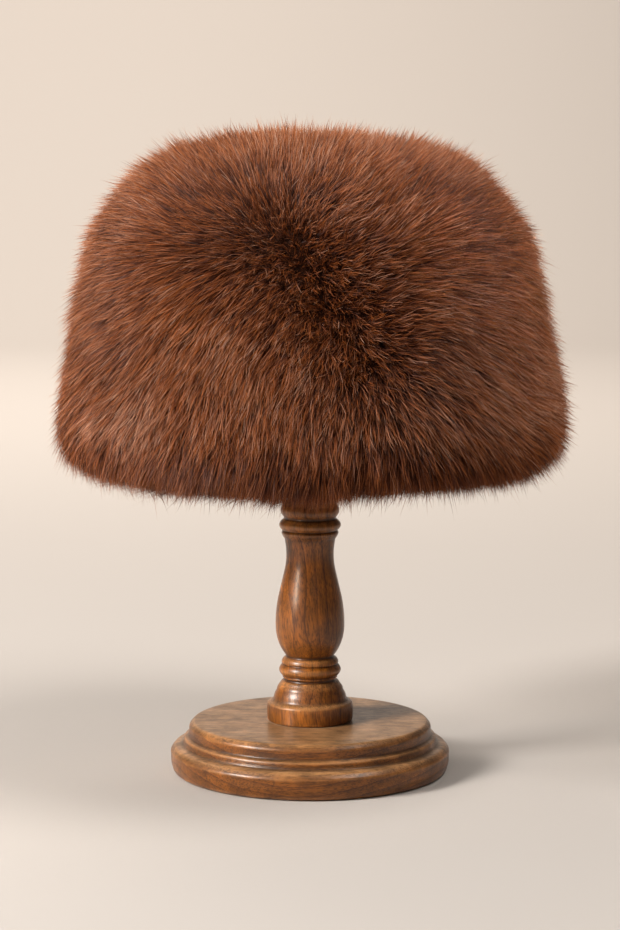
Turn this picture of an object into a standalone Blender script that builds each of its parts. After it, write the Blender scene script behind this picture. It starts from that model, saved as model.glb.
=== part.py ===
"""A fur kalpak on the turned wooden stand that holds it.

The hat is a hide wall with a deep pile round it, whose outer form is locks that grow out of one
body of fur. The stand is a moulded base, a baluster column and a plain post and head inside the hat.
Metres, +Z up, the hat's front towards -Y, origin at the middle of the base's underside.
"""

import math
import random
from collections import namedtuple

import bmesh
import bpy
from mathutils import Vector

Section = namedtuple("Section", "half_width height")
Moulding = namedtuple("Moulding", "radius height bulge cuts")

# The hat, seen from the front. Its plan is an oval, deeper than it is wide.
OVAL = 1.11
RIM_HALF_WIDTH = 0.0885
RIM_HEIGHT = 0.184
CROWN_HEIGHT = 0.328
HIDE_THICKNESS = 0.0025
PILE_TOP = 0.357
PILE_FOOT = 0.172
PILE_HALF_WIDTH = 0.1405
CELLS_ACROSS = 9

# A lock rises off the body of the pile and reaches along the way in which the hair lies.
LOCK_RISE = 0.0155
LOCK_ROOT_SHARE = 0.72
LOCK_REACH = 0.021
LOCK_MIDDLE_SHARE = 0.55
LOCK_MIDDLE_WIDTH = 0.62
LOCK_VARIES_BY = 0.16
CORNER_STRAYS_BY = 0.0026
LOWEST_TIP = 0.1695
SEED = 11

# The hair parts along a short slanting line on the hat's front and lies away from it.
PARTING_UPPER = Vector((-0.022, -0.135, 0.297))
PARTING_LOWER = Vector((0.036, -0.150, 0.232))
PARTING_WIDTH = 0.075

# Behind, from the ears on, it falls from the crown instead, and all of it hangs a little.
FALL_STARTS_AT = 0.010
FALL_WHOLE_AT = 0.110
FALL_OUTWARD = 0.5
HANG = 0.30

# The stand. Its head carries the crown from inside.
GAP = 0.0003
BASE_RADIUS = 0.0782
BASE_HEIGHT = 0.0285
FOOT_RADIUS = 0.0240
COLUMN_TOP = 0.1525
POST_RADIUS = 0.0125
HEAD_RADIUS = 0.062
HEAD_FOOT = 0.276
HEAD_TOP = CROWN_HEIGHT - HIDE_THICKNESS - GAP
BASE_SIDES = 40
COLUMN_SIDES = 24
SHARP_OVER = math.radians(35)

FUR_COLOUR = (0.170, 0.062, 0.030)
HIDE_COLOUR = (0.230, 0.130, 0.075)
WOOD_COLOUR = (0.200, 0.095, 0.040)

# Down the outside of the pile, from the middle of the crown to the inner edge under the rim.
PILE_SECTIONS = [
    Section(0.0000, PILE_TOP),
    Section(0.0400, 0.3550),
    Section(0.0780, 0.3460),
    Section(0.1020, 0.3300),
    Section(0.1200, 0.3060),
    Section(0.1270, 0.2810),
    Section(0.1325, 0.2550),
    Section(0.1375, 0.2260),
    Section(PILE_HALF_WIDTH, 0.2000),
    Section(0.1345, 0.1820),
    Section(0.1180, PILE_FOOT),
    Section(0.1010, 0.1735),
    Section(0.0905, 0.1830),
]

# Down the outside of the hide wall, from the middle of the crown to the rim.
HIDE_SECTIONS = [
    Section(0.0000, CROWN_HEIGHT),
    Section(0.0340, CROWN_HEIGHT),
    Section(0.0590, 0.3220),
    Section(0.0740, 0.3060),
    Section(0.0810, 0.2840),
    Section(0.0850, 0.2480),
    Section(RIM_HALF_WIDTH, RIM_HEIGHT),
]

# Turned outlines, from the foot up. Each row ends a stretch that bulges out, or in if less than 0.
BASE_MOULDINGS = [
    Moulding(0.0742, 0.0000, 0.0000, 1),
    Moulding(BASE_RADIUS, 0.0050, 0.0011, 2),
    Moulding(BASE_RADIUS, 0.0108, 0.0000, 1),
    Moulding(0.0745, 0.0153, 0.0012, 3),
    Moulding(0.0717, 0.0163, -0.0003, 1),
    Moulding(0.0702, 0.0196, 0.0007, 2),
    Moulding(0.0682, 0.0206, 0.0000, 1),
    Moulding(0.0678, 0.0242, 0.0000, 1),
    Moulding(0.0645, BASE_HEIGHT, 0.0010, 2),
]
COLUMN_MOULDINGS = [
    Moulding(0.0234, BASE_HEIGHT + GAP, 0.0000, 1),
    Moulding(FOOT_RADIUS, 0.0300, 0.0000, 1),
    Moulding(FOOT_RADIUS, 0.0386, 0.0000, 1),
    Moulding(0.0222, 0.0404, 0.0003, 2),
    Moulding(0.0196, 0.0440, -0.0005, 2),
    Moulding(0.0152, 0.0512, 0.0012, 3),
    Moulding(0.0152, 0.0536, 0.0000, 1),
    Moulding(0.0158, 0.0612, 0.0021, 4),
    Moulding(0.0132, 0.0652, -0.0004, 2),
    Moulding(0.0193, 0.0815, 0.0012, 3),
    Moulding(0.0178, 0.0988, 0.0005, 2),
    Moulding(0.0146, 0.1125, 0.0000, 1),
    Moulding(0.0140, 0.1305, -0.0010, 4),
    Moulding(0.0153, 0.1337, -0.0003, 1),
    Moulding(0.0155, 0.1367, 0.0008, 2),
    Moulding(0.0157, 0.1432, 0.0016, 4),
    Moulding(0.0150, 0.1442, 0.0000, 1),
    Moulding(0.0152, 0.1508, 0.0014, 4),
    Moulding(0.0142, COLUMN_TOP, 0.0000, 1),
]
HEAD_MOULDINGS = [
    Moulding(POST_RADIUS, COLUMN_TOP + GAP, 0.0000, 1),
    Moulding(POST_RADIUS, 0.2700, 0.0000, 1),
    Moulding(0.0185, HEAD_FOOT, -0.0016, 2),
    Moulding(0.0580, HEAD_FOOT, 0.0000, 1),
    Moulding(HEAD_RADIUS, 0.2880, 0.0020, 2),
    Moulding(0.0320, HEAD_TOP, 0.0090, 4),
]


def curve_through(sections, cuts=8):
    """A smooth line through the sections, as points (half width, height)."""
    rows = [Vector(section) for section in sections]
    ends = [2 * rows[0] - rows[1]] + rows + [2 * rows[-1] - rows[-2]]
    line = []
    for before, start, end, after in zip(ends, ends[1:], ends[2:], ends[3:]):
        for cut in range(cuts):
            t = cut / cuts
            bend = 2 * before - 5 * start + 4 * end - after
            twist = 3 * (start - end) + after - before
            line.append(start + 0.5 * t * (end - before + t * (bend + t * twist)))
    return line + [rows[-1]]


def station_on(line, share):
    """The point at this share of the line's length, and the way out of the hat there."""
    lengths = [(b - a).length for a, b in zip(line, line[1:])]
    left = share * sum(lengths)
    for start, end, length in zip(line, line[1:], lengths):
        if left <= length or end is line[-1]:
            break
        left -= length
    along = (end - start).normalized()
    return start + along * min(left, length), Vector((-along.y, along.x))


def on_oval(point, out, bearing):
    """A station of the outline carried round the oval plan to this bearing."""
    turn_x, turn_y = math.cos(bearing), math.sin(bearing)
    place = Vector((point.x * turn_x, point.x * turn_y * OVAL, point.y))
    return place, Vector((out.x * turn_x, out.x * turn_y / OVAL, out.y)).normalized()


def dome_net():
    """A dome of even cells with no pole: five faces of a cube, blown up round.

    Each corner is a (share of the way from the crown to the rim, bearing), each cell four corners.
    """
    cube = bmesh.new()
    bmesh.ops.create_cube(cube, size=2)
    floor = [face for face in cube.faces if face.normal.z < -0.5]
    bmesh.ops.delete(cube, geom=floor, context="FACES")
    bmesh.ops.subdivide_edges(cube, edges=cube.edges[:], cuts=CELLS_ACROSS - 1, use_grid_fill=True)
    cube.verts.index_update()
    stations = []
    for corner in cube.verts:
        ray = Vector(math.tan(side * math.pi / 4) for side in corner.co)
        bearing = math.atan2(ray.y, ray.x)
        from_crown = math.atan2(math.hypot(ray.x, ray.y), ray.z)
        side_share = max(abs(math.cos(bearing)), abs(math.sin(bearing)))
        stations.append((from_crown / (math.pi / 2 + math.atan(side_share)), bearing))
    cells = [[corner.index for corner in face.verts] for face in cube.faces]
    rim = [[corner.index for corner in edge.verts] for edge in cube.edges if edge.is_boundary]
    cube.free()
    return stations, cells, rim


def halved(cells):
    """Each cell as two triangles, so that walls on the same net stay the same distance apart."""
    return [half for a, b, c, d in cells for half in ((a, b, c), (a, c, d))]


def shell_mesh(outer_points, outer_cells, inner_points, inner_cells, rim):
    """A closed wall between two domes on the same net. Returns it and its outer faces."""
    mesh = bmesh.new()
    outer = [mesh.verts.new(point) for point in outer_points]
    inner = [mesh.verts.new(point) for point in inner_points]
    outer_faces = [mesh.faces.new([outer[i] for i in cell]) for cell in outer_cells]
    for cell in inner_cells:
        mesh.faces.new([inner[i] for i in reversed(cell)])
    for start, end in rim:
        mesh.faces.new([outer[start], outer[end], inner[end], inner[start]])
    bmesh.ops.recalc_face_normals(mesh, faces=mesh.faces[:])
    return mesh, outer_faces


def along_surface(way, out):
    """What is left of a direction once its part out of the surface is taken off."""
    return way - out * way.dot(out)


def eased(value):
    """0 up to 0, 1 from 1 on, and a smooth rise between."""
    value = min(max(value, 0), 1)
    return value * value * (3 - 2 * value)


def hair_lie(place, out):
    """Which way, and how far as a share of its reach, the hair leans over at a place."""
    parting = PARTING_LOWER - PARTING_UPPER
    share = (place - PARTING_UPPER).dot(parting) / parting.length_squared
    away = place - (PARTING_UPPER + parting * min(max(share, 0), 1))
    outward = Vector((place.x, place.y / OVAL**2, 0)).normalized()
    fall = along_surface(outward * FALL_OUTWARD - Vector((0, 0, 1)), out).normalized()
    behind = eased((place.y - FALL_STARTS_AT) / (FALL_WHOLE_AT - FALL_STARTS_AT))
    way = along_surface(away, out).normalized().lerp(fall, behind)
    hang = along_surface(Vector((0, 0, -HANG)), out)
    return way * eased(away.length / PARTING_WIDTH) + hang


def grow_locks(mesh, faces, chance):
    """Draws each outer cell out into a lock that narrows, leans and ends in a point."""
    for face in bmesh.ops.extrude_discrete_faces(mesh, faces=faces)["faces"]:
        root, out = face.calc_center_median(), face.normal.copy()
        size = 1 + chance.uniform(-LOCK_VARIES_BY, LOCK_VARIES_BY)
        rise = out * LOCK_RISE * size
        reach = hair_lie(root, out) * LOCK_REACH * size
        room_below = max((root + rise).z - LOWEST_TIP, 0)
        if -reach.z > room_below:
            reach *= room_below / -reach.z
        middle = root + rise * LOCK_MIDDLE_SHARE + reach * LOCK_MIDDLE_SHARE**2
        for corner in face.verts:
            corner.co = middle + (corner.co - root) * LOCK_MIDDLE_WIDTH
        tip = bmesh.ops.poke(mesh, faces=[face])["verts"][0]
        tip.co = root + rise + reach


def finish(name, mesh, colour, roughness):
    """The named object for a mesh, with its own material."""
    data = bpy.data.meshes.new(name)
    mesh.to_mesh(data)
    mesh.free()
    material = bpy.data.materials.new(name + "_material")
    material.use_nodes = True
    surface = material.node_tree.nodes["Principled BSDF"].inputs
    surface["Base Color"].default_value = (*colour, 1)
    surface["Roughness"].default_value = roughness
    surface["Metallic"].default_value = 0
    data.materials.append(material)
    thing = bpy.data.objects.new(name, data)
    bpy.context.scene.collection.objects.link(thing)
    return thing


def make_pelt_wall(net):
    """The hide: a wall of even thickness, closed over the crown and open at the rim."""
    stations, cells, rim = net
    line = curve_through(HIDE_SECTIONS)
    outside, inside = [], []
    for share, bearing in stations:
        point, out = station_on(line, share)
        outside.append(on_oval(point, out, bearing)[0])
        inside.append(on_oval(point - out * HIDE_THICKNESS, out, bearing)[0])
    mesh, _ = shell_mesh(outside, halved(cells), inside, halved(cells), rim)
    return finish("pelt_wall", mesh, HIDE_COLOUR, 0.8)


def make_fur_pile(net):
    """The fur: one body round the hide, whose whole outside is locks."""
    stations, cells, rim = net
    chance = random.Random(SEED)
    pile, hide = curve_through(PILE_SECTIONS), curve_through(HIDE_SECTIONS)
    on_rim = {corner for edge in rim for corner in edge}
    outside, inside = [], []
    for index, (share, bearing) in enumerate(stations):
        place, out = on_oval(*station_on(pile, share), bearing)
        if index not in on_rim:
            stray = Vector(chance.uniform(-CORNER_STRAYS_BY, CORNER_STRAYS_BY) for _ in range(3))
            place += along_surface(stray, out) - out * LOCK_RISE * LOCK_ROOT_SHARE
        outside.append(place)
        point, out = station_on(hide, share)
        inside.append(on_oval(point + out * GAP, out, bearing)[0])
    mesh, outer_faces = shell_mesh(outside, cells, inside, halved(cells), rim)
    grow_locks(mesh, outer_faces, chance)
    return finish("fur_pile", mesh, FUR_COLOUR, 0.75)


def turned(name, mouldings, sides):
    """A piece as it comes off the lathe: the outline of its mouldings swept round the Z axis."""
    first = mouldings[0]
    outline = [Vector((0, first.height)), Vector((first.radius, first.height))]
    for row in mouldings[1:]:
        start, end = outline[-1], Vector((row.radius, row.height))
        out = Vector((end.y - start.y, start.x - end.x)).normalized()
        for cut in range(1, row.cuts + 1):
            share = cut / row.cuts
            outline.append(start.lerp(end, share) + out * row.bulge * 4 * share * (1 - share))
    outline.append(Vector((0, outline[-1].y)))
    mesh = bmesh.new()
    corners = [mesh.verts.new((point.x, 0, point.y)) for point in outline]
    edges = [mesh.edges.new(pair) for pair in zip(corners, corners[1:])]
    bmesh.ops.spin(
        mesh, geom=corners + edges, axis=(0, 0, 1), cent=(0, 0, 0), angle=math.tau, steps=sides
    )
    bmesh.ops.remove_doubles(mesh, verts=mesh.verts[:], dist=0.00001)
    bmesh.ops.recalc_face_normals(mesh, faces=mesh.faces[:])
    piece = finish(name, mesh, WOOD_COLOUR, 0.45)
    piece.data.shade_smooth()
    piece.data.set_sharp_from_angle(angle=SHARP_OVER)
    return piece


for left_over in list(bpy.data.objects):
    bpy.data.objects.remove(left_over)

turned("stand_base", BASE_MOULDINGS, BASE_SIDES)
turned("stand_column", COLUMN_MOULDINGS, COLUMN_SIDES)
turned("stand_head", HEAD_MOULDINGS, COLUMN_SIDES)

NET = dome_net()
make_pelt_wall(NET)
make_fur_pile(NET)
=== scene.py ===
"""The looks of a fur kalpak on its turned wooden stand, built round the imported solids.

Metres, +Z up, the hat's front towards -Y, origin under the middle of the stand's base.
"""

import math
from collections import namedtuple

import bmesh
import bpy
import numpy as np
from mathutils.kdtree import KDTree
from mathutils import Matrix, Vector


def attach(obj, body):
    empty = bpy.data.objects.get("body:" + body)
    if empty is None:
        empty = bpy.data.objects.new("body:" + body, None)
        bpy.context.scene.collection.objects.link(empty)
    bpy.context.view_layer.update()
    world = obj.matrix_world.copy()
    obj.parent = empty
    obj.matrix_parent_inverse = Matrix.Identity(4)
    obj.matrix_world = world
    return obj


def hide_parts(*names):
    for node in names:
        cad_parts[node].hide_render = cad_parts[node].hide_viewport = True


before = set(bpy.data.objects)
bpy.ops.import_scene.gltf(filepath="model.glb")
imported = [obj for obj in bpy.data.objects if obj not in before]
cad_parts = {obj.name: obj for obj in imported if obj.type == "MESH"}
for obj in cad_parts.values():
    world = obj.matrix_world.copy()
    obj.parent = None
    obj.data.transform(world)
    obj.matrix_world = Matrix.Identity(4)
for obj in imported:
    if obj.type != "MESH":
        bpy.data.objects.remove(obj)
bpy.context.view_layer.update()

# The camera stands a metre and a half in front, level with the crown and tipped down a little,
# with a portrait lens.
EYE_HEIGHT = 0.357
EYE_DISTANCE = 1.5
TIPPED_DOWN = math.radians(7)

camera = bpy.data.objects.new("camera", bpy.data.cameras.new("camera"))
bpy.context.scene.collection.objects.link(camera)
camera.data.sensor_fit = "HORIZONTAL"
camera.data.sensor_width = 24
camera.data.lens = 105
camera.location = (0, -EYE_DISTANCE, EYE_HEIGHT)
camera.rotation_euler = (math.pi / 2 - TIPPED_DOWN, 0, 0)
bpy.context.scene.camera = camera
bpy.context.scene.view_settings.view_transform = "Standard"

# A sheet of pale card lies under the stand and sweeps up behind it in one curve.
SHEET_WIDTH = 9.0
SHEET_HEIGHT = 3.6
SWEEP_RADIUS = 1.5


def srgb(hex_colour):
    """A hex colour as linear red, green, blue and alpha."""
    parts = [int(hex_colour[i : i + 2], 16) / 255 for i in (0, 2, 4)]
    linear = [p / 12.92 if p <= 0.04045 else ((p + 0.055) / 1.055) ** 2.4 for p in parts]
    return (*linear, 1.0)


def add_node(tree, kind, settings=None, **links):
    """A node with its settings, and with values or other nodes' outputs on its inputs.

    An input goes by its name, or by its number after an underscore. The `stops` of a colour ramp
    are pairs of a position and a hex colour.
    """
    node = tree.nodes.new(kind)
    for name, value in (settings or {}).items():
        if name == "stops":
            while len(node.color_ramp.elements) < len(value):
                node.color_ramp.elements.new(0.5)
            for step, (position, colour) in zip(node.color_ramp.elements, value):
                step.position, step.color = position, srgb(colour)
        else:
            setattr(node, name, value)
    for name, value in links.items():
        key = int(name[1:]) if name[1:].isdigit() else name.replace("_", " ")
        socket = node.inputs[key]
        if isinstance(value, bpy.types.NodeSocket):
            tree.links.new(value, socket)
        else:
            socket.default_value = value
    return node


def new_material(name):
    """An empty material and its output node."""
    material = bpy.data.materials.new(name)
    material.use_nodes = True
    tree = material.node_tree
    tree.nodes.clear()
    return material, tree, tree.nodes.new("ShaderNodeOutputMaterial")


def start_piece(add_primitive, **settings):
    """Adds a primitive with nothing else selected and opens it in edit mode."""
    bpy.ops.object.select_all(action="DESELECT")
    add_primitive(**settings)
    bpy.ops.object.mode_set(mode="EDIT")
    return bpy.context.object


def finish_piece(piece, name, material):
    """Closes edit mode, moves the piece's place into its mesh, and names and dresses it."""
    bpy.ops.mesh.select_all(action="SELECT")
    bpy.ops.mesh.normals_make_consistent(inside=False)
    bpy.ops.object.mode_set(mode="OBJECT")
    bpy.ops.object.transform_apply(location=True, rotation=True, scale=True)
    piece.name = piece.data.name = name
    piece.data.materials.clear()
    piece.data.materials.append(material)
    return piece


card, tree, out = new_material("matt_card")
# Uncoated card, rolled smooth: an even, wholly matt off-white with no shine.
coat = add_node(tree, "ShaderNodeBsdfPrincipled", Base_Color=srgb("B4ADA7"), Roughness=0.95)
tree.links.new(coat.outputs[0], out.inputs[0])

sheet = start_piece(bpy.ops.mesh.primitive_plane_add, size=SHEET_WIDTH)
bpy.ops.mesh.select_mode(type="EDGE")
bpy.ops.mesh.select_all(action="DESELECT")
mesh = bmesh.from_edit_mesh(sheet.data)
for edge in mesh.edges:
    edge.select = all(corner.co.y > 0 for corner in edge.verts)
bpy.ops.mesh.extrude_region_move(TRANSFORM_OT_translate={"value": (0, 0, SHEET_HEIGHT)})
bpy.ops.mesh.select_all(action="DESELECT")
mesh = bmesh.from_edit_mesh(sheet.data)
for edge in mesh.edges:
    edge.select = all(corner.co.y > 0 and corner.co.z < 0.01 for corner in edge.verts)
bpy.ops.mesh.bevel(offset=SWEEP_RADIUS, segments=32, affect="EDGES")
bpy.ops.mesh.select_mode(type="VERT")
finish_piece(sheet, "backdrop", card)
bpy.ops.object.shade_smooth()

# Daylight comes from a window to the left, and a low pane of it reaches the stand under the hat.
# The room gives some back from the front, from above and from the right, and a lamp behind washes
# the sheet pale.


def soft_light(name, place, aim, size, watts, colour, spread=180):
    """A soft square light that faces its aim and spreads over so many degrees."""
    lamp = bpy.data.objects.new(name, bpy.data.lights.new(name, "AREA"))
    lamp.data.size = size
    lamp.data.energy = watts
    lamp.data.spread = math.radians(spread)
    lamp.data.color = srgb(colour)[:3]
    bpy.context.scene.collection.objects.link(lamp)
    lamp.location = place
    lamp.rotation_euler = (Vector(aim) - lamp.location).to_track_quat("-Z", "Y").to_euler()


soft_light("window", (-1.42, -0.74, 1.05), (0, 0, 0.14), 0.50, 54, "FFFBF6")
soft_light("room_bounce", (0.6, -2.0, 1.2), (0, 0, 0.25), 1.2, 2, "FFFBF6")
soft_light("ceiling", (0.58, -0.45, 1.55), (0, 0, 0.27), 0.7, 18, "FFFBF6")
soft_light("far_window", (1.60, -0.90, 0.80), (0.08, -0.05, 0.315), 0.12, 0.05, "FFFBF6", spread=8)
soft_light("wall_wash", (-0.7, 1.7, 2.5), (-0.45, 4.1, 0.25), 1.6, 150, "FFF6EC")
soft_light("low_window", (-1.05, -0.75, 0.36), (0, 0, 0.045), 0.22, 0.07, "FFE9D0", spread=14)

world = bpy.data.worlds.new("room")
bpy.context.scene.world = world
world.use_nodes = True
world.node_tree.nodes["Background"].inputs["Color"].default_value = srgb("FFFBF7")
world.node_tree.nodes["Background"].inputs["Strength"].default_value = 0.10

# The stand's base is a disc of brown hardwood, turned on a faceplate: a rounded lower member, a
# step, a cove and a flat top. Its grain runs across, from left to right.
Moulding = namedtuple("Moulding", "radius height bulge cuts")

GAP = 0.0003
BASE_RADIUS = 0.0782
BASE_HEIGHT = 0.0285
FOOT_RADIUS = 0.0240
SIDES = 128
ARRIS = 0.00035
SHARP_OVER = math.radians(32)
BASE_MOULDINGS = [
    Moulding(0.0742, 0.0000, 0.0000, 1),
    Moulding(0.0776, 0.0036, 0.0009, 4),
    Moulding(BASE_RADIUS, 0.0060, 0.0001, 2),
    Moulding(BASE_RADIUS, 0.0102, 0.0001, 2),
    Moulding(0.0771, 0.0136, 0.0007, 4),
    Moulding(0.0748, 0.0153, 0.0004, 3),
    Moulding(0.0722, 0.0157, -0.0001, 2),
    Moulding(0.0713, 0.0169, -0.0003, 2),
    Moulding(0.0710, 0.0188, -0.0002, 2),
    Moulding(0.0704, 0.0199, 0.0001, 1),
    Moulding(0.0687, 0.0204, -0.0001, 2),
    Moulding(0.0681, 0.0216, -0.0003, 2),
    Moulding(0.0680, 0.0246, -0.0002, 2),
    Moulding(0.0668, 0.0271, 0.0004, 4),
    Moulding(0.0645, BASE_HEIGHT, 0.0004, 4),
    Moulding(0.0600, BASE_HEIGHT, 0.0000, 2),
]

# Turned, stained and waxed hardwood. The lathe cuts across the year rings, so they show as long
# figures; the stain lies dark in the pores. The grooves are darker from stain gathered in them
# and from painted shade, the arrises are pale from handling and from a painted highlight, and
# level tops are painted lighter, as painted light and sheen. Pores and fibres are drawn about
# twice as coarse as in the wood, or they wouldn't show.
RING_SPACING = 0.0052
RING_STOPS = (
    (0.0, "925519"),
    (0.6, "8B5118"),
    (0.88, "7A4514"),
    (0.97, "5C3210"),
    (1.0, "925519"),
)
WAVE_PERIOD = math.tau / 20
PORE = (0.0003, 0.0003, 0.0032)
FIBRE = (0.0016, 0.0016, 0.030)
SWAY = (0.060, 0.060, 0.160)
SWAY_REACH = (0.030, 0.030, 0.0)
STAIN_CLOUD = 0.009
DUST_WIDTH = 0.0009


def turned_wood(name, lie, heart, stain=0.95, wax=0.38, dust_round=0):
    """Wood whose grain is laid over by `lie` (a rotation) round a heart that far off the middle.

    A lower `stain` is a darker one. Pale dust lies in the joint round a foot of the radius
    `dust_round`.
    """
    material, tree, out = new_material(name)
    place = add_node(tree, "ShaderNodeTexCoord").outputs["Object"]
    board = add_node(
        tree,
        "ShaderNodeMapping",
        {"vector_type": "POINT"},
        Vector=place,
        Rotation=lie,
        Location=heart,
    ).outputs[0]

    grains = []
    for size, detail in ((SWAY, 2.0), (PORE, 2.0), (FIBRE, 3.0)):
        scale = tuple(0.5 / side for side in size)
        scaled = add_node(tree, "ShaderNodeMapping", Vector=board, Scale=scale).outputs[0]
        grain = add_node(
            tree, "ShaderNodeTexNoise", Vector=scaled, Scale=1.0, Detail=detail, Roughness=0.6
        )
        grains.append(grain)
    sway = grains[0].outputs["Color"]
    pores, fibres = (grain.outputs["Fac"] for grain in grains[1:])
    swayed = add_node(
        tree,
        "ShaderNodeVectorMath",
        {"operation": "MULTIPLY_ADD"},
        _0=sway,
        _1=SWAY_REACH,
        _2=board,
    ).outputs[0]
    rings = add_node(
        tree,
        "ShaderNodeTexWave",
        {"wave_type": "RINGS", "rings_direction": "Z", "wave_profile": "SAW"},
        Vector=swayed,
        Scale=WAVE_PERIOD / RING_SPACING,
        Distortion=0.25,
        Detail=2.0,
    ).outputs["Fac"]
    clouds = add_node(
        tree,
        "ShaderNodeTexNoise",
        Vector=place,
        Scale=0.5 / STAIN_CLOUD,
        Detail=5.0,
        Roughness=0.66,
    ).outputs["Fac"]
    bend, up = (
        add_node(tree, "ShaderNodeAttribute", {"attribute_name": name}).outputs["Fac"]
        for name in ("bend", "up")
    )
    # Proud arrises, for their wear by handling and their painted highlight.
    worn_and_highlit = add_node(
        tree, "ShaderNodeMath", {"operation": "MULTIPLY_ADD"}, _0=clouds, _1=0.35, _2=bend
    ).outputs[0]
    flat = add_node(tree, "ShaderNodeVectorMath", {"operation": "MULTIPLY"}, _0=place, _1=(1, 1, 0))
    reach = add_node(tree, "ShaderNodeVectorMath", {"operation": "LENGTH"}, _0=flat.outputs[0])
    foot = reach.outputs["Value"]

    tone = add_node(tree, "ShaderNodeValToRGB", {"stops": RING_STOPS}, Fac=rings).outputs[0]
    # Laid over the rings in turn: a value, its low and high, what it comes to at each of them, and
    # a colour that it covers with by that share, or none where it only darkens or lightens.
    layers = [
        # Painted light and sheen: level tops are covered paler and warmer.
        (up, 0.40, 1.00, 0.00, 0.72, "CC9C6C"),
        (fibres, 0.30, 0.70, 0.66, 1.26, None),
        (clouds, 0.34, 0.66, 0.58 * stain, 1.24 * stain, None),
        (pores, 0.39, 0.52, 0.58, 0.00, "2A1406"),
        # Grooves darkened: partly stain gathered there, partly painted shade.
        (bend, 0.48, 0.12, 0.00, 0.88, "241107"),
        # Proud arrises paler: partly worn by handling, partly a painted highlight.
        (worn_and_highlit, 0.78, 1.04, 0.00, 0.66, "B98452"),
        (foot, dust_round + DUST_WIDTH, dust_round, 0.00, 0.70, "A98D74"),
    ]
    for value, low, high, at_low, at_high, colour in layers:
        level = add_node(
            tree, "ShaderNodeMapRange", Value=value, _1=low, _2=high, _3=at_low, _4=at_high
        ).outputs[0]
        blend, share, over = ("MIX", level, srgb(colour)) if colour else ("MULTIPLY", 1.0, level)
        settings = {"data_type": "RGBA", "blend_type": blend}
        tone = add_node(tree, "ShaderNodeMix", settings, _0=share, _6=tone, _7=over).outputs[2]
    gloss = add_node(
        tree, "ShaderNodeMapRange", Value=clouds, _1=0.3, _2=0.7, _3=0.48, _4=0.34
    ).outputs[0]
    relief = add_node(tree, "ShaderNodeBump", Strength=0.3, Distance=0.0003, Height=pores)
    coat = add_node(
        tree,
        "ShaderNodeBsdfPrincipled",
        Base_Color=tone,
        Roughness=gloss,
        IOR=1.5,
        Specular_IOR_Level=0.3,
        Coat_Weight=wax,
        Coat_Roughness=0.24,
        Normal=relief.outputs[0],
    )
    tree.links.new(coat.outputs[0], out.inputs[0])
    return material


def outline_of(mouldings):
    """The rings (radius, height) of a turned outline, each stretch a flat arc of its bulge."""
    rings = [(mouldings[0].radius, mouldings[0].height)]
    for row in mouldings[1:]:
        start, end = np.array(rings[-1]), np.array((row.radius, row.height))
        out = np.array((end[1] - start[1], start[0] - end[0])) / np.linalg.norm(end - start)
        for share in np.arange(1, row.cuts + 1) / row.cuts:
            place = start + (end - start) * share + out * row.bulge * 4 * share * (1 - share)
            rings.append(tuple(place))
    return rings


def turn(rings, depth_over_width=1.0, sides=SIDES):
    """A disc drawn out ring by ring, as (radius, height), by its last face each time."""
    (radius, height), *rest = rings
    piece = start_piece(
        bpy.ops.mesh.primitive_circle_add,
        vertices=sides,
        radius=radius,
        fill_type="NGON",
        location=(0, 0, height),
    )
    for next_radius, next_height in rest:
        bpy.ops.mesh.extrude_region_move(
            TRANSFORM_OT_translate={"value": (0, 0, next_height - height)}
        )
        scale = next_radius / radius
        bpy.ops.transform.resize(value=(scale, scale, 1), center_override=(0, 0, 0))
        radius, height = next_radius, next_height
    bpy.ops.mesh.select_all(action="SELECT")
    bpy.ops.transform.resize(value=(1, depth_over_width, 1), center_override=(0, 0, 0))
    return piece


def ease_arrises(piece):
    """Rounds every sharp turned edge a little, as sanding does."""
    bevel = piece.modifiers.new("arris", "BEVEL")
    bevel.width = ARRIS
    bevel.segments = 2
    bevel.limit_method = "ANGLE"
    bevel.angle_limit = SHARP_OVER
    bpy.ops.object.modifier_apply(modifier=bevel.name)
    bpy.ops.object.shade_smooth_by_angle(angle=SHARP_OVER)


def mark_outline(piece, mouldings, reach=0.0014, full=0.0008):
    """Marks each point of a turned piece with its "bend" and its "up", for the material.

    The bend is how far the outline stands out of itself smoothed over `reach`: 0.5 where it is
    even, 1 on an arris that is `full` proud, 0 in such a groove. Up is 1 on a level top.
    """
    rings = np.array(outline_of(mouldings))
    run = np.concatenate([[0], np.cumsum(np.linalg.norm(np.diff(rings, axis=0), axis=1))])
    step, tail = reach / 10, 30
    at = np.arange(0, run[-1], step)
    fine = np.stack([np.interp(at, run, column) for column in rings.T], axis=1)
    bell = np.exp(-0.5 * (np.arange(-tail, tail + 1) * step / reach) ** 2)
    bell /= bell.sum()
    padded = np.vstack([[fine[0]] * tail, fine, [fine[-1]] * tail])
    smooth = np.stack([np.convolve(column, bell, "valid") for column in padded.T], axis=1)
    along = np.gradient(smooth, axis=0)
    along /= np.linalg.norm(along, axis=1, keepdims=True) + 1e-12
    proud = np.sum((fine - smooth) * np.stack([along[:, 1], -along[:, 0]], axis=1), axis=1)
    places = np.empty(len(piece.data.vertices) * 3)
    piece.data.vertices.foreach_get("co", places)
    x, y, z = places.reshape(-1, 3).T
    off = np.hypot(np.hypot(x, y)[:, None] - fine[:, 0], z[:, None] - fine[:, 1])
    nearest = off.argmin(axis=1)
    for name, value in (("bend", 0.5 + 0.5 * proud / full), ("up", -along[:, 0])):
        mark = piece.data.attributes.new(name, "FLOAT", "POINT")
        mark.data.foreach_set("value", np.clip(value, 0, 1)[nearest])


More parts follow.
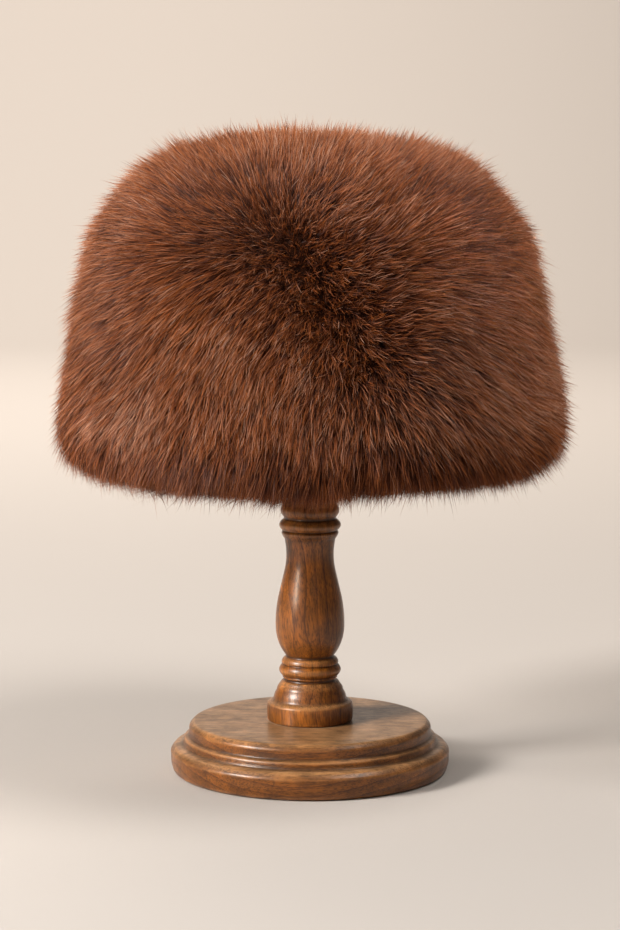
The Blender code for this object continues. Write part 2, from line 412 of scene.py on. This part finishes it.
# The base's lower stain is painted shade for its shaded sides; its top gets the painted top light.
base = finish_piece(
    turn(outline_of(BASE_MOULDINGS)),
    "turned_base",
    turned_wood(
        "base_hardwood",
        (0.0, math.pi / 2, 0.03),
        (0.055, 0.020, 0.0),
        stain=0.74,
        wax=0.30,
        dust_round=FOOT_RADIUS,
    ),
)
ease_arrises(base)
mark_outline(base, BASE_MOULDINGS)
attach(base, "root")
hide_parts("stand_base")

# The column is one baluster, turned between centres with the grain upright: a foot disc, a torus,
# a belly that narrows to a neck, a bead, a big ring and a top collar. It is dowelled to the base.
COLUMN_TOP = 0.1525
COLUMN_MOULDINGS = [
    Moulding(0.0234, BASE_HEIGHT + GAP, 0.0000, 1),
    Moulding(FOOT_RADIUS, 0.0299, 0.0002, 2),
    Moulding(FOOT_RADIUS, 0.0378, 0.0002, 3),
    Moulding(0.0234, 0.0391, 0.0002, 3),
    Moulding(0.0224, 0.0396, 0.0001, 2),
    Moulding(0.0217, 0.0400, -0.0001, 1),
    Moulding(0.0204, 0.0420, -0.0003, 3),
    Moulding(0.0188, 0.0458, 0.0002, 3),
    Moulding(0.0168, 0.0496, 0.0004, 4),
    Moulding(0.0159, 0.0511, 0.0001, 2),
    Moulding(0.0149, 0.0516, 0.0000, 1),
    Moulding(0.0147, 0.0527, -0.0002, 2),
    Moulding(0.0154, 0.0533, 0.0001, 2),
    Moulding(0.0152, 0.0541, 0.0001, 2),
    Moulding(0.0157, 0.0606, 0.0019, 10),
    Moulding(0.0155, 0.0610, -0.0001, 2),
    Moulding(0.0160, 0.0616, 0.0001, 2),
    Moulding(0.0150, 0.0640, 0.0002, 3),
    Moulding(0.0134, 0.0652, -0.0001, 2),
    Moulding(0.0137, 0.0659, -0.0001, 2),
    Moulding(0.0193, 0.0815, 0.0013, 9),
    Moulding(0.0178, 0.0988, 0.0005, 7),
    Moulding(0.0146, 0.1125, 0.0000, 5),
    Moulding(0.0140, 0.1303, -0.0010, 9),
    Moulding(0.0152, 0.1331, -0.0003, 4),
    Moulding(0.0153, 0.1336, 0.0000, 1),
    Moulding(0.0157, 0.1341, 0.0001, 2),
    Moulding(0.0156, 0.1360, 0.0003, 3),
    Moulding(0.0153, 0.1364, 0.0000, 1),
    Moulding(0.0154, 0.1424, 0.0019, 9),
    Moulding(0.0147, 0.1430, -0.0001, 2),
    Moulding(0.0149, 0.1442, -0.0002, 3),
    Moulding(0.0152, 0.1508, 0.0014, 8),
    Moulding(0.0142, COLUMN_TOP, 0.0000, 2),
]

column = finish_piece(
    turn(outline_of(COLUMN_MOULDINGS)),
    "turned_column",
    turned_wood("column_hardwood", (0.05, 0.09, 0.0), (-0.016, 0.004, 0.0)),
)
ease_arrises(column)
mark_outline(column, COLUMN_MOULDINGS)
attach(column, "root")
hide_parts("stand_column")

# Out of sight in the crown, a plain dowel carries a round wooden head that the hat sits on.
CROWN_HEIGHT = 0.328
HIDE_THICKNESS = 0.0025
HEAD_TOP = CROWN_HEIGHT - HIDE_THICKNESS - GAP
HEAD_MOULDINGS = [
    Moulding(0.0125, COLUMN_TOP + GAP, 0.0000, 1),
    Moulding(0.0125, 0.2700, 0.0000, 1),
    Moulding(0.0185, 0.2760, -0.0016, 5),
    Moulding(0.0580, 0.2760, 0.0000, 1),
    Moulding(0.0620, 0.2880, 0.0020, 5),
    Moulding(0.0320, HEAD_TOP, 0.0090, 9),
]

head = finish_piece(
    turn(outline_of(HEAD_MOULDINGS)),
    "turned_head",
    turned_wood("head_hardwood", (0.04, -0.05, 0.0), (0.030, 0.010, 0.0)),
)
ease_arrises(head)
mark_outline(head, HEAD_MOULDINGS)
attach(head, "root")
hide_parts("stand_head")

# The hat's wall is the pelts' own hide, tanned and sewn to an oval crown, flesh side inwards. It
# is bare inside, and the fur grows from its outside.
Section = namedtuple("Section", "half_width height")

OVAL = 1.11
SOFT_SIDES = 96
HIDE_SECTIONS = [
    Section(0.0000, CROWN_HEIGHT),
    Section(0.0340, CROWN_HEIGHT),
    Section(0.0590, 0.3220),
    Section(0.0740, 0.3060),
    Section(0.0810, 0.2840),
    Section(0.0850, 0.2480),
    Section(0.0885, 0.1840),
]
CROWN_EYE = 0.002
RUBBED_PATCH = 1 / 28
NAP = 0.0009


def line_through(sections, steps=8):
    """A smooth line through the sections: its points, and the way out of the hat at each."""
    rows = np.array(sections)
    rows = np.vstack([2 * rows[0] - rows[1], rows, 2 * rows[-1] - rows[-2]])
    t = np.arange(steps)[:, None] / steps
    parts = []
    for before, start, end, after in zip(rows, rows[1:], rows[2:], rows[3:]):
        bend = 2 * before - 5 * start + 4 * end - after
        twist = 3 * (start - end) + after - before
        parts.append(start + 0.5 * t * (end - before + t * (bend + t * twist)))
    points = np.vstack([*parts, rows[-2:-1]])
    along = np.gradient(points, axis=0)
    along /= np.linalg.norm(along, axis=1, keepdims=True)
    return points, np.stack([-along[:, 1], along[:, 0]], axis=1)


suede, tree, out = new_material("tanned_hide")
# Tanned hide, flesh side: a dry brown nap with no shine, darker where hands have rubbed it flat.
# The nap is drawn coarser than the hide's, or it wouldn't show.
place = add_node(tree, "ShaderNodeTexCoord").outputs["Object"]
patches = add_node(
    tree, "ShaderNodeTexNoise", Vector=place, Scale=1 / RUBBED_PATCH, Detail=4.0
).outputs["Fac"]
nap = add_node(
    tree, "ShaderNodeTexNoise", Vector=place, Scale=1 / NAP, Detail=3.0, Roughness=0.7
).outputs["Fac"]
tone = add_node(
    tree, "ShaderNodeValToRGB", {"stops": ((0.3, "6E4E37"), (0.7, "94704F"))}, Fac=patches
).outputs[0]
fleck = add_node(tree, "ShaderNodeMapRange", Value=nap, _1=0.3, _2=0.7, _3=0.8, _4=1.15)
napped = add_node(
    tree,
    "ShaderNodeMix",
    {"data_type": "RGBA", "blend_type": "MULTIPLY"},
    _0=1.0,
    _6=tone,
    _7=fleck.outputs[0],
).outputs[2]
relief = add_node(tree, "ShaderNodeBump", Strength=0.5, Distance=0.0005, Height=nap).outputs[0]
coat = add_node(
    tree,
    "ShaderNodeBsdfPrincipled",
    Base_Color=napped,
    Roughness=0.92,
    Sheen_Weight=0.25,
    Normal=relief,
)
tree.links.new(coat.outputs[0], out.inputs[0])

hide_line, hide_out = line_through(HIDE_SECTIONS)
hide_rings = hide_line[::-1][:-1]
hide_inside = (hide_line - hide_out * HIDE_THICKNESS)[1:]
eye_inside = (CROWN_EYE, CROWN_HEIGHT - HIDE_THICKNESS)
eye_outside = (CROWN_EYE, CROWN_HEIGHT)
wall_rings = [eye_inside, *hide_inside[::2], *hide_rings[::2], eye_outside]
wall = finish_piece(turn(wall_rings, OVAL, SOFT_SIDES), "hide_wall", suede)
bpy.ops.object.shade_smooth_by_angle(angle=SHARP_OVER)
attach(wall, "root")
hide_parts("pelt_wall")

# The fur's depths are the dense woolly underfur at the foot of the long hair. It fills the coat
# up to where the hairs part, and shows near black between the tufts, as painted shade.
ROOT_DEPTH = 0.0130
ROOT_DEPTH_AT_RIM = 0.0045
RIM_SHARE = 0.14
WOOL_SHARE = 0.57
CRIMP = 1 / 420
PILE_SECTIONS = [
    Section(0.0000, 0.3570),
    Section(0.0400, 0.3550),
    Section(0.0780, 0.3460),
    Section(0.1020, 0.3300),
    Section(0.1200, 0.3060),
    Section(0.1270, 0.2810),
    Section(0.1325, 0.2550),
    Section(0.1375, 0.2260),
    Section(0.1405, 0.2000),
    Section(0.1345, 0.1820),
    Section(0.1180, 0.1720),
    Section(0.1010, 0.1735),
    Section(0.0905, 0.1830),
]


def eased(value):
    """0 up to 0, 1 from 1 on, and a smooth rise between."""
    value = np.clip(value, 0, 1)
    return value * value * (3 - 2 * value)


def past(value, start, over):
    """0 up to the start, 1 from this far over it, or under it where `over` is below 0."""
    return eased((value - start) / over)


underfur, tree, out = new_material("underfur_wool_painted_shade")
# Crimped underwool, matted; its near-black colour is painted shade, for the little light that
# comes back from between its fibres.
place = add_node(tree, "ShaderNodeTexCoord").outputs["Object"]
tufts = add_node(
    tree, "ShaderNodeTexNoise", Vector=place, Scale=1 / CRIMP, Detail=3.0
).outputs["Fac"]
tone = add_node(
    tree, "ShaderNodeValToRGB", {"stops": ((0.35, "190B06"), (0.7, "351A0D"))}, Fac=tufts
).outputs[0]
coat = add_node(
    tree, "ShaderNodeBsdfPrincipled", Base_Color=tone, Roughness=1.0, Specular_IOR_Level=0.1
)
tree.links.new(coat.outputs[0], out.inputs[0])

pile_line, pile_out = line_through(PILE_SECTIONS)
pile_step = np.linalg.norm(np.diff(pile_line, axis=0), axis=1)
pile_run = np.concatenate([[0], np.cumsum(pile_step)])
at_rim = past(pile_run / pile_run[-1], 1 - RIM_SHARE, RIM_SHARE)
root_depth = ROOT_DEPTH + (ROOT_DEPTH_AT_RIM - ROOT_DEPTH) * at_rim
wool_line = (pile_line - pile_out * root_depth[:, None] * WOOL_SHARE)[::-2]
against_hide = (hide_line + hide_out * GAP)[2::2]
crown_inside, crown_outside = (CROWN_EYE, CROWN_HEIGHT + GAP), (CROWN_EYE, wool_line[-1][1])
body_rings = [crown_inside, *against_hide, *wool_line[:-1], crown_outside]
body = finish_piece(turn(body_rings, OVAL, SOFT_SIDES), "underfur", underfur)
bpy.ops.object.shade_smooth_by_angle(angle=SHARP_OVER)
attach(body, "root")
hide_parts("fur_pile")

# The coat is long guard hair over shorter fine hair. It parts along a short slanting line on the
# front, lies away from it in soft tufts, falls from the crown behind, and ends evenly at the rim.
# Each hair is drawn several times as wide as a real one, or it wouldn't show.
PARTING_UPPER = np.array((-0.013, -0.133, 0.306))
PARTING_LOWER = np.array((0.034, -0.146, 0.250))
PARTING_WIDTH = 0.050
FALL_STARTS_AT = 0.010
FALL_REACH = 0.100
CROWN_FROM = 0.300
FRINGE_FROM = 0.208
RIM_FROM = 0.205
TURNED_UNDER = 0.182
LOWEST_TIP = 0.1757
STATIONS = np.array((0.34, 0.68, 1.0))
HAIR_WIDTH = 0.00037
FINE_HAIRS = 385000
GUARD_HAIRS = 158000
STRAY_HAIRS = 13000
FINE_REACH = 0.0150
GUARD_REACH = 0.0190
BROAD_DRIFT = 0.045
CLOSE_DRIFT = 0.011
SINGLE_DRIFT = 0.005
CROWN_TUFT = 0.016
SWIRL = 0.30
MOST_ASKEW = 1.5
SHOULDER_HEIGHT = 0.330
SHOULDER_SIZE = 0.030
MOST_FLUFF = 0.42
RIM_WAVE = 0.0025
RAGGED = 0.0036
COLLAR_TUFT = 0.008
COLLAR_TUFT_WIDTH = 0.018
SHORTEST = 0.12
FRIZZ = 0.0009
KINK = 0.00048
DROOP = 0.0012
GOLDEN = (math.sqrt(5) - 1) / 2
chance = np.random.default_rng(7)


def unit(ways):
    """Each direction at length one."""
    return ways / (np.linalg.norm(ways, axis=-1, keepdims=True) + 1e-12)


def dots(a, b):
    """The dot product of each pair of vectors, kept as a column."""
    return np.sum(a * b, axis=-1, keepdims=True)


def near(value, middle, width):
    """1 at the middle, and less in a bell of this width on both sides of it."""
    return np.exp(-(((value - middle) / width) ** 2))


def drift_field(places, grain, seed):
    """Smooth random values from -1 to 1 that change over about this grain, three at each place."""
    side = 32
    lattice = np.random.default_rng(seed).uniform(-1, 1, (side, side, side, 3))
    scaled = places / grain + 100
    corner = np.floor(scaled).astype(int)
    share = eased(scaled - corner)
    total = np.zeros(places.shape)
    for step in np.ndindex(2, 2, 2):
        weight = np.prod(np.where(step, share, 1 - share), axis=1, keepdims=True)
        total += weight * lattice[tuple(((corner + step) % side).T)]
    return total


def roots_on_coat(count):
    """Evenly strewn roots: place, way out, and how deep under the coat's outline they lie."""
    area = np.concatenate([[0], np.cumsum(pile_step * (pile_line[1:, 0] + pile_line[:-1, 0]))])
    order = (np.arange(count) + chance.uniform(0, 1, count)) / count
    bearing = math.tau * ((np.arange(count) * GOLDEN) % 1) + chance.normal(0, 0.004, count)
    run = np.interp(order * area[-1], area, pile_run)
    half_width, height, out_x, out_z, depth = (
        np.interp(run, pile_run, column) for column in (*pile_line.T, *pile_out.T, root_depth)
    )
    half_width, height = half_width - out_x * depth, height - out_z * depth
    across, back = np.cos(bearing), np.sin(bearing)
    place = np.stack([half_width * across, half_width * back * OVAL, height], axis=1)
    out = unit(np.stack([out_x * across, out_x * back / OVAL, out_z], axis=1))
    return place, out, depth[:, None]


def hair_lie(place, out):
    """Which way the hair leans along the surface, and how far over from 0 to 1."""
    parting = PARTING_LOWER - PARTING_UPPER
    share = np.clip(dots(place - PARTING_UPPER, parting) / parting.dot(parting), 0, 1)
    away = place - (PARTING_UPPER + parting * share)
    lean = eased(np.linalg.norm(away, axis=1, keepdims=True) / PARTING_WIDTH)
    outward = unit(place * (1, 1 / OVAL**2, 0))
    across, back, height = place[:, :1], place[:, 1:2], place[:, 2:]
    fall = outward * 0.5 * past(height, TURNED_UNDER, 0.03) - (0, 0, 1)
    behind = past(back, FALL_STARTS_AT, FALL_REACH)
    away, fall = (unit(way - out * dots(way, out)) for way in (away, fall))
    # Beside the parting the hair hangs more than it spreads: most at the lower left.
    low = past(height, 0.298, -0.090)
    to_left, to_right = past(across, 0.035, -0.06), past(across, 0.035, 0.04)
    hang = 0.36 * past(height, 0.315, -0.05)
    hang = hang + 3.4 * low * to_left * (1 - 0.30 * past(across, -0.06, -0.07))
    hang += to_right * (0.55 * past(height, 0.335, -0.05) - 0.42 * past(height, 0.255, -0.05))
    down = out * out[:, 2:] - (0, 0, 1)
    way = away + (fall - away) * behind + down * hang * lean
    return unit(way), lean


def grow(count, reach, stray, lift):
    """Single hairs as curves of a few stations, with the way out and the lean at each root.

    `reach` is how far each runs along the coat, `stray` the share of it that goes any way, and
    `lift` how high over the coat's outline its tip stands, as a share of the root's depth.
    """
    place, out, depth = roots_on_coat(count)
    across, back, height = place[:, :1], place[:, 1:2], place[:, 2:]
    way, lean = hair_lie(place, out)
    broad, close = drift_field(place, BROAD_DRIFT, 1), drift_field(place, CLOSE_DRIFT, 2)
    swirl = SWIRL * broad[:, :1] + SWIRL * close[:, :1]
    way = unit(way * np.cos(swirl) + np.cross(out, way) * np.sin(swirl))
    askew = np.clip(chance.normal(0, 1, (count, 3)), -MOST_ASKEW, MOST_ASKEW)
    askew -= out * dots(askew, out)
    # The hair is longer over the crown, on the right and in the fringe, and uneven in tufts.
    longer = 1 + 0.25 * past(height, CROWN_FROM, 0.035) + 0.25 * past(across, 0.03, 0.05)
    longer += 0.70 * past(height, FRINGE_FROM, -0.025)
    single = drift_field(place, SINGLE_DRIFT, 3)[:, :1]
    crown = drift_field(place, CROWN_TUFT, 4)[:, :1]
    length = 1 + 0.08 * broad[:, 1:2] + 0.12 * close[:, 1:2] + 0.10 * single
    length += 0.26 * past(height, 0.305, 0.03) * crown
    run = (way * lean + askew * (stray + 0.14 * (1 - lean))) * reach * length * longer
    run *= np.minimum(depth / ROOT_DEPTH + 0.25, 1)
    # It lies closer on the left side, above the rim and on both shoulders, and looser on the crown.
    tucked = 0.12 + 0.25 * past(across, -0.04, -0.09) * near(height, 0.215, 0.035)
    tucked += 0.22 * near(height, 0.184, 0.012) * past(across, 0.14, -0.10)
    loose = np.minimum(chance.exponential(0.20, (count, 1)), MOST_FLUFF) - 0.12
    fluff = past(height, CROWN_FROM, 0.03) * loose
    for most, beside in ((0.50, 0.108), (0.24, -0.108)):
        off = (place - (beside, 0, SHOULDER_HEIGHT)) * (1, 0, 1)
        tucked += most * np.exp(-dots(off, off) / SHOULDER_SIZE**2)
    over = out * depth * (lift[:, None] + length - 1 - tucked + fluff)
    # No tip hangs below the rim's uneven edge, which comes lower over the front of the column.
    lowest = LOWEST_TIP + RIM_WAVE * close[:, 2:] - chance.exponential(RAGGED, (count, 1))
    lowest -= COLLAR_TUFT * near(across, 0, COLLAR_TUFT_WIDTH) * (back < 0)
    room = np.maximum((place + out * depth + over)[:, 2:] - lowest, 0)
    drop = np.maximum(-run[:, 2:], 1e-6)
    run *= np.where(drop > room, np.maximum(room / drop, SHORTEST), 1)
    # Each rises from its root, then leans over more and more, a little off its way and kinked.
    t = STATIONS[None, :, None]
    curve = place[:, None] + (out * depth)[:, None] * t * (1.35 - 0.35 * t)
    curve += over[:, None] * t**2.5 + run[:, None] * t**1.3
    curve += chance.normal(0, FRIZZ, (count, 1, 3)) * t**2
    curve += chance.normal(0, KINK, (count, len(STATIONS), 3)) * t
    return curve + np.array((0, 0, -DROOP)) * t**2, out, lean[:, 0]


def gather(curve, out, every, pull, loosest):
    """Draws hairs sideways to the nearest of every so many, more towards the tip, as tufts.

    The loosest tuft takes only that share of the pull, and at the rim all take less.
    """
    leaders = np.arange(0, len(curve), every)
    tree = KDTree(len(leaders))
    for index, leader in enumerate(leaders):
        tree.insert(curve[leader, 0], index)
    tree.balance()
    leader = leaders[[tree.find(place)[1] for place in curve[:, 0]]]
    hold = chance.uniform(loosest, 1, len(curve))[leader] * chance.uniform(0.4, 1, len(curve))
    hold *= 1 - 0.4 * past(curve[:, 0, 2], RIM_FROM, -0.02)
    share = pull * hold[:, None, None] * STATIONS[None, :, None] ** 1.2
    pulled = (curve[leader] - curve) * share
    return curve + pulled - 0.75 * out[:, None] * dots(pulled, out[:, None]), leader


fine_lift = chance.uniform(-0.42, 0.06, FINE_HAIRS)
fine = grow(FINE_HAIRS, FINE_REACH, 0.22, fine_lift)
guard_lift = 0.70 * chance.uniform(0, 1, GUARD_HAIRS) ** 2.2 - 0.08
guard = grow(GUARD_HAIRS, GUARD_REACH, 0.23, guard_lift)
order = chance.permutation(FINE_HAIRS + GUARD_HAIRS)
hairs, outs, leans = (np.concatenate(pair)[order] for pair in zip(fine, guard))
hairs, _ = gather(hairs, outs, every=160, pull=0.42, loosest=0.0)
hairs, tuft = gather(hairs, outs, every=13, pull=0.74, loosest=0.3)
stray_lift = np.minimum(chance.exponential(0.28, STRAY_HAIRS), 0.70)
stray = grow(STRAY_HAIRS, GUARD_REACH, 0.30, stray_lift)
hairs, outs, leans = (np.concatenate(pair) for pair in zip((hairs, outs, leans), stray))
order = np.concatenate([order, np.arange(len(order), len(hairs))])
tuft = np.concatenate([tuft, np.arange(len(tuft), len(hairs))])
is_fine = order < FINE_HAIRS
is_stray = order >= FINE_HAIRS + GUARD_HAIRS

# How pale each hair is, from 0 to 1: it drifts over the coat, and guard and stray hairs are paler
# than fine ones, which lie lower in the coat, partly by colour and partly as painted shade. Upright
# hair at the parting and hair low at the fringe are darker, as painted shade. The patches are a
# change, a size, a place.
BROAD_SHADE = 0.050
CLOSE_SHADE = 0.012
TUFT_SHADES = 0.12
HAIR_SHADES = 0.20
PATCHES = [
    (0.28, 0.023, (-0.088, -0.119, 0.217)),
    (0.24, 0.013, (0.010, -0.152, 0.184)),
    (0.24, 0.016, (0.061, -0.112, 0.312)),
    (0.18, 0.070, (0.125, -0.060, 0.240)),
    (-0.16, 0.040, (0.085, -0.095, 0.318)),
    (-0.16, 0.036, (-0.068, -0.100, 0.325)),
]

roots = hairs[:, 0]
broad = drift_field(roots, BROAD_SHADE, 5)[:, 0]
close = drift_field(roots, CLOSE_SHADE, 6)[:, 0]
# Fine hair is darker partly by colour, partly as painted shade; upright parting hair is painted
# shade.
tone = 0.43 + 0.11 * broad + 0.07 * close - 0.14 * is_fine + 0.16 * is_stray - 0.16 * (1 - leans)
# Painted shade: hair rooted low, towards the rim, is darker.
tone -= 0.30 * past(roots[:, 2], 0.214, -0.022)
for change, size, spot in PATCHES:
    tone += change * near(np.linalg.norm(roots - spot, axis=1), 0, size)
tone += chance.normal(0, TUFT_SHADES, len(hairs))[tuft] + chance.normal(0, HAIR_SHADES, len(hairs))
tone = np.clip(tone, 0.02, 0.98)

ROOT_TO_TIP = (0.0, 0.3, 0.7, 1.0)
# The near-black root shades are partly the hair's own colour and partly painted shade.
SHADES = (
    ("0C0401", "200C05", "3F1A0A", "4F230F"),
    ("170902", "481F0A", "864419", "A25F2E"),
    ("22100A", "683E2E", "A87B62", "C8A794"),
)

fur_hair, tree, out = new_material("fur_hair")
# Guard and fine hair, paler at the tip and near black at the root, partly the hair's own colour and
# partly painted shade of the coat's depths. Its scaly cuticle gives a soft, broad shine. U of the
# map is how pale a hair is, from deep brown over red-brown to ash, and V runs from root to tip.
spot = add_node(tree, "ShaderNodeUVMap", {"uv_map": "OFBake"}).outputs[0]
pale, along = add_node(tree, "ShaderNodeSeparateXYZ", Vector=spot).outputs[:2]
shades = [
    add_node(
        tree, "ShaderNodeValToRGB", {"stops": tuple(zip(ROOT_TO_TIP, tones))}, Fac=along
    ).outputs[0]
    for tones in SHADES
]
mixed = shades[0]
for start, shade in zip((0.0, 0.5), shades[1:]):
    share = add_node(tree, "ShaderNodeMapRange", Value=pale, _1=start, _2=start + 0.5).outputs[0]
    mixed = add_node(
        tree, "ShaderNodeMix", {"data_type": "RGBA"}, _0=share, _6=mixed, _7=shade
    ).outputs[2]
coat = add_node(
    tree,
    "ShaderNodeBsdfPrincipled",
    Base_Color=mixed,
    Roughness=0.45,
    IOR=1.55,
    Specular_IOR_Level=0.14,
)
tree.links.new(coat.outputs[0], out.inputs[0])

# The hairs are joined into five pieces, one beside the other round the hat, each a mesh of flat
# ribbons that taper to a point and are rounded by their normals. In the map each is a thin strip.
PIECES = ("fur_back_left", "fur_left", "fur_front", "fur_right", "fur_back_right")
TAPER = np.array((1.0, 0.85, 0.0))
ROUNDING = 0.6
ROLL = 0.5
STRIP = 0.0008
ALONG = 0.005 + 0.99 * (STATIONS - STATIONS[0]) / (1 - STATIONS[0])


def ribbons(curve, out, width, tone, stations):
    """Ribbons along these stations: corners, their normals, faces by corner, sizes, and the map."""
    count, corners = len(curve), len(stations) * 2 - 1
    curve = curve[:, stations]
    along = unit(np.gradient(curve, axis=1))
    across = unit(np.cross(along, out[:, None]))
    facing = np.cross(across, along)
    roll = chance.normal(0, ROLL, (count, 1, 1))
    side = across * np.cos(roll) + facing * np.sin(roll)
    front = facing * np.cos(roll / 2) - across * np.sin(roll / 2)
    half = side * (width[:, None] * TAPER[stations])[:, :, None] / 2
    points = np.stack([curve - half, curve + half], axis=2).reshape(count, -1, 3)[:, :corners]
    normals = unit(np.stack([front - side * ROUNDING, front + side * ROUNDING], axis=2))
    normals = normals.reshape(count, -1, 3)[:, :corners].copy()
    normals[:, -1] = front[:, -1]
    faces = [(i, i + 1, i + 3, i + 2) for i in range(0, corners - 3, 2)]
    faces.append((corners - 3, corners - 2, corners - 1))
    pattern = np.concatenate(faces)
    loops = np.arange(count)[:, None] * corners + pattern
    u = tone[:, None] + np.where(np.arange(corners) % 2, STRIP, -STRIP)
    u[:, -1] = tone
    v = np.broadcast_to(np.repeat(ALONG[stations], 2)[:corners], u.shape)
    spots = np.stack([u, v], axis=2).reshape(-1, 2)
    sizes = np.tile([len(face) for face in faces], count)
    return points.reshape(-1, 3), normals.reshape(-1, 3), loops.ravel(), sizes, spots


def ribbon_piece(name, strips):
    """One object of several sets of ribbons."""
    points, normals, loops, sizes, spots = zip(*strips)
    shift = np.cumsum([0, *map(len, points[:-1])])
    loops = np.concatenate([part + by for part, by in zip(loops, shift)])
    sizes = np.concatenate(sizes)
    mesh = bpy.data.meshes.new(name)
    mesh.vertices.add(sum(map(len, points)))
    mesh.vertices.foreach_set("co", np.concatenate(points).ravel())
    mesh.loops.add(len(loops))
    mesh.loops.foreach_set("vertex_index", loops)
    mesh.polygons.add(len(sizes))
    mesh.polygons.foreach_set("loop_start", np.cumsum(sizes) - sizes)
    uv = np.concatenate(spots)[loops]
    mesh.uv_layers.new(name="OFBake").data.foreach_set("uv", uv.ravel())
    mesh.update(calc_edges=True)
    mesh.normals_split_custom_set_from_vertices(np.concatenate(normals))
    mesh.materials.append(fur_hair)
    piece = bpy.data.objects.new(name, mesh)
    bpy.context.scene.collection.objects.link(piece)
    return piece


bearing = np.arctan2(roots[:, 0], -roots[:, 1])
width = HAIR_WIDTH * chance.uniform(0.75, 1.25, len(hairs))
width *= np.where(is_stray, 0.7, np.where(is_fine, 1, 1.1))
width *= 1 - 0.35 * past(roots[:, 2], RIM_FROM, -0.02)
for name, members in zip(PIECES, np.array_split(np.argsort(bearing), len(PIECES))):
    strips = []
    for kind, stations in ((True, [0, 2]), (False, [0, 1, 2])):
        those = members[is_fine[members] == kind]
        strips.append(ribbons(hairs[those], outs[those], width[those], tone[those], stations))
    piece = ribbon_piece(name, strips)
    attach(piece, "root")
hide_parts("fur_pile")
